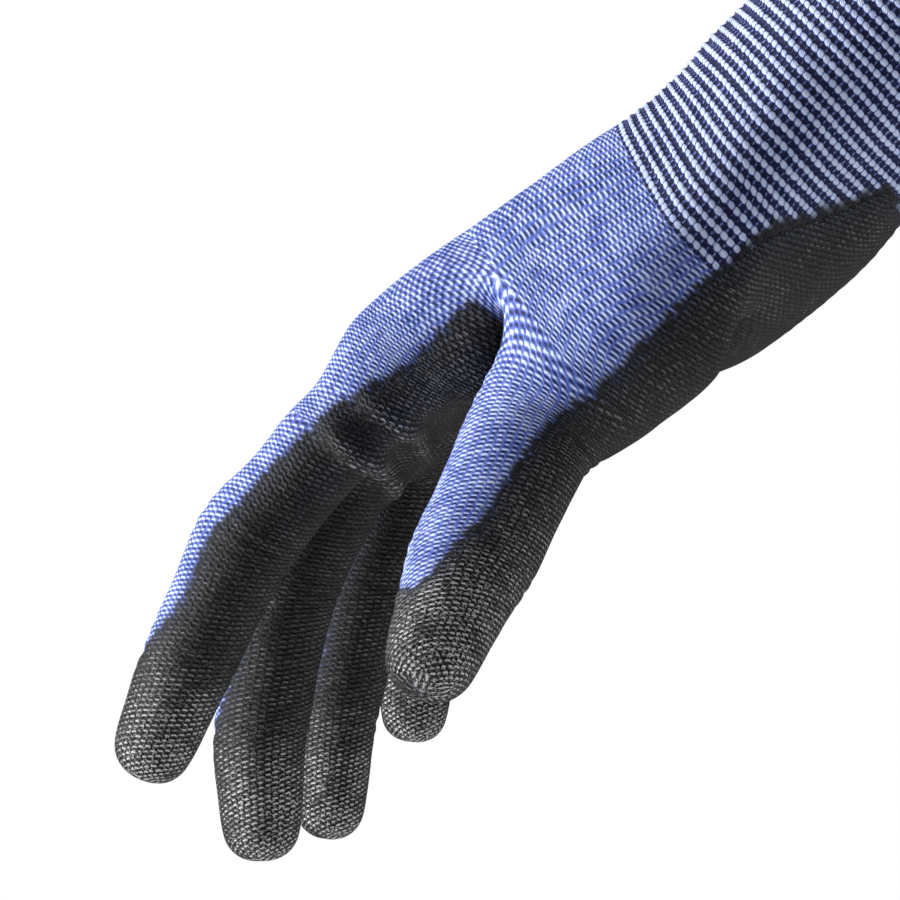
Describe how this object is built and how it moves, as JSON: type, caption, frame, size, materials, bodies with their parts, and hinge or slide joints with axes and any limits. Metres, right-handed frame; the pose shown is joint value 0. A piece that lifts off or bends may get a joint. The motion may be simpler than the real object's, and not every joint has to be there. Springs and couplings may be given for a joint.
{
  "type": "cut resistant glove",
  "caption": "Knitted work glove for the right hand with a ribbed cuff, a coated palm and fingers that bend at every joint.",
  "frame": {"origin": "centre of the cuff mouth, on the cuff axis", "axes": "+X along the cuff axis out of the glove and up the forearm, fingers towards -X, +Z the back of the hand, thumb towards -Y"},
  "size_m": [0.2338, 0.113, 0.0807],
  "materials": {
    "fine_knit": "fine purl knit in marled blue and white cut resistant yarn",
    "rib_knit": "heavy ribbed knit in marled blue and white yarn",
    "coating": "thin matt black coating with the knit showing through",
    "hem": "overlocked edge in dark blue thread"
  },
  "bodies": {
    "cuff": {"cuff": "rib_knit", "cuff_hem": "hem", "wrist_sleeve": "rib_knit", "heel_coating": "coating"},
    "hand": {"hand_shell": "fine_knit", "palm_coating": "coating", "palm_crease_sleeve": "fine_knit", "thumb_root_sleeve": "fine_knit"},
    "knuckles": {"knuckle_shell": "fine_knit", "knuckle_coating": "coating", "finger_web": "fine_knit"},
    "index_base": {"index_base": "fine_knit", "index_base_coating": "coating", "index_middle_sleeve": "fine_knit"},
    "index_middle": {"index_middle": "fine_knit", "index_middle_coating": "coating", "index_tip_sleeve": "fine_knit"},
    "index_tip": {"index_tip": "fine_knit", "index_tip_coating": "coating"},
    "middle_base": {"middle_base": "fine_knit", "middle_base_coating": "coating", "middle_middle_sleeve": "fine_knit"},
    "middle_middle": {"middle_middle": "fine_knit", "middle_middle_coating": "coating", "middle_tip_sleeve": "fine_knit"},
    "middle_tip": {"middle_tip": "fine_knit", "middle_tip_coating": "coating"},
    "ring_base": {"ring_base": "fine_knit", "ring_base_coating": "coating", "ring_middle_sleeve": "fine_knit"},
    "ring_middle": {"ring_middle": "fine_knit", "ring_middle_coating": "coating", "ring_tip_sleeve": "fine_knit"},
    "ring_tip": {"ring_tip": "fine_knit", "ring_tip_coating": "coating"},
    "little_base": {"little_base": "fine_knit", "little_base_coating": "coating", "little_middle_sleeve": "fine_knit"},
    "little_middle": {"little_middle": "fine_knit", "little_middle_coating": "coating", "little_tip_sleeve": "fine_knit"},
    "little_tip": {"little_tip": "fine_knit", "little_tip_coating": "coating"},
    "thumb_root": {"thumb_root": "fine_knit", "thumb_base_sleeve": "fine_knit"},
    "thumb_base": {"thumb_base": "fine_knit", "thumb_base_coating": "coating", "thumb_tip_sleeve": "fine_knit"},
    "thumb_tip": {"thumb_tip": "fine_knit", "thumb_tip_coating": "coating"}
  },
  "joints": [
    {"name": "wrist_bend", "type": "hinge", "parent": "cuff", "child": "hand", "pos_m": [-0.069, 0, 0], "axis": [0, -1, 0], "range_deg": [-30, 30], "deforming": ["wrist_sleeve"]},
    {"name": "palm_fold", "type": "hinge", "parent": "hand", "child": "knuckles", "pos_m": [-0.13603, 0.00438, 0.01854], "axis": [-0.1257, -0.9874, 0.096], "range_deg": [-4, 26], "deforming": ["palm_crease_sleeve"]},
    {"name": "index_base_bend", "type": "hinge", "parent": "knuckles", "child": "index_base", "pos_m": [-0.16092, -0.02816, 0.01569], "axis": [0.0509, -0.9986, -0.0121], "range_deg": [-15, 34], "deforming": ["finger_web"]},
    {"name": "index_middle_bend", "type": "hinge", "parent": "index_base", "child": "index_middle", "pos_m": [-0.18324, -0.02926, 0.0131], "axis": [0.0509, -0.9986, -0.0121], "range_deg": [-12, 46], "deforming": ["index_middle_sleeve"]},
    {"name": "index_tip_bend", "type": "hinge", "parent": "index_middle", "child": "index_tip", "pos_m": [-0.20832, -0.03042, 0.00315], "axis": [0.0509, -0.9986, -0.0121], "range_deg": [-8, 30], "deforming": ["index_tip_sleeve"]},
    {"name": "middle_base_bend", "type": "hinge", "parent": "knuckles", "child": "middle_base", "pos_m": [-0.16297, -0.00568, 0.01611], "axis": [0.0085, -1, -0.002], "range_deg": [-15, 34], "deforming": ["finger_web"]},
    {"name": "middle_middle_bend", "type": "hinge", "parent": "middle_base", "child": "middle_middle", "pos_m": [-0.18823, -0.00587, 0.0081], "axis": [0.0085, -1, -0.002], "range_deg": [-12, 46], "deforming": ["middle_middle_sleeve"]},
    {"name": "middle_tip_bend", "type": "hinge", "parent": "middle_middle", "child": "middle_tip", "pos_m": [-0.21279, -0.00604, -0.01082], "axis": [0.0085, -1, -0.002], "range_deg": [-8, 30], "deforming": ["middle_tip_sleeve"]},
    {"name": "ring_base_bend", "type": "hinge", "parent": "knuckles", "child": "ring_base", "pos_m": [-0.15785, 0.01606, 0.01108], "axis": [-0.0289, -0.9996, 0.0069], "range_deg": [-15, 34], "deforming": ["finger_web"]},
    {"name": "ring_middle_bend", "type": "hinge", "parent": "ring_base", "child": "ring_middle", "pos_m": [-0.17954, 0.01663, 0.00205], "axis": [-0.0289, -0.9996, 0.0069], "range_deg": [-12, 46], "deforming": ["ring_middle_sleeve"]},
    {"name": "ring_tip_bend", "type": "hinge", "parent": "ring_middle", "child": "ring_tip", "pos_m": [-0.20369, 0.01721, -0.014], "axis": [-0.0289, -0.9996, 0.0069], "range_deg": [-8, 30], "deforming": ["ring_tip_sleeve"]},
    {"name": "little_base_bend", "type": "hinge", "parent": "knuckles", "child": "little_base", "pos_m": [-0.15237, 0.03572, 0.00609], "axis": [-0.0577, -0.9982, 0.0137], "range_deg": [-15, 34], "deforming": ["finger_web"]},
    {"name": "little_middle_bend", "type": "hinge", "parent": "little_base", "child": "little_middle", "pos_m": [-0.1644, 0.03637, 0.00273], "axis": [-0.0577, -0.9982, 0.0137], "range_deg": [-12, 46], "deforming": ["little_middle_sleeve"]},
    {"name": "little_tip_bend", "type": "hinge", "parent": "little_middle", "child": "little_tip", "pos_m": [-0.18226, 0.03725, -0.00828], "axis": [-0.0577, -0.9982, 0.0137], "range_deg": [-8, 30], "deforming": ["little_tip_sleeve"]},
    {"name": "thumb_swing", "type": "hinge", "parent": "hand", "child": "thumb_root", "pos_m": [-0.11826, -0.02986, -0.01202], "axis": [-0.117, 0.6986, 0.7058], "range_deg": [-18, 12], "deforming": ["thumb_root_sleeve"]},
    {"name": "thumb_base_bend", "type": "hinge", "parent": "thumb_root", "child": "thumb_base", "pos_m": [-0.12928, -0.03254, -0.01429], "axis": [0.027, -0.7082, 0.7055], "range_deg": [-12, 32], "deforming": ["thumb_base_sleeve"]},
    {"name": "thumb_tip_bend", "type": "hinge", "parent": "thumb_base", "child": "thumb_tip", "pos_m": [-0.15234, -0.04651, -0.02743], "axis": [0.027, -0.7082, 0.7055], "range_deg": [-10, 26], "deforming": ["thumb_tip_sleeve"]}
  ],
  "couplings": [
    {"joint": "index_tip_bend", "follows": "index_middle_bend", "ratio": 0.65},
    {"joint": "middle_tip_bend", "follows": "middle_middle_bend", "ratio": 0.65},
    {"joint": "ring_tip_bend", "follows": "ring_middle_bend", "ratio": 0.65},
    {"joint": "little_tip_bend", "follows": "little_middle_bend", "ratio": 0.65},
    {"joint": "thumb_tip_bend", "follows": "thumb_base_bend", "ratio": 0.8}
  ]
}
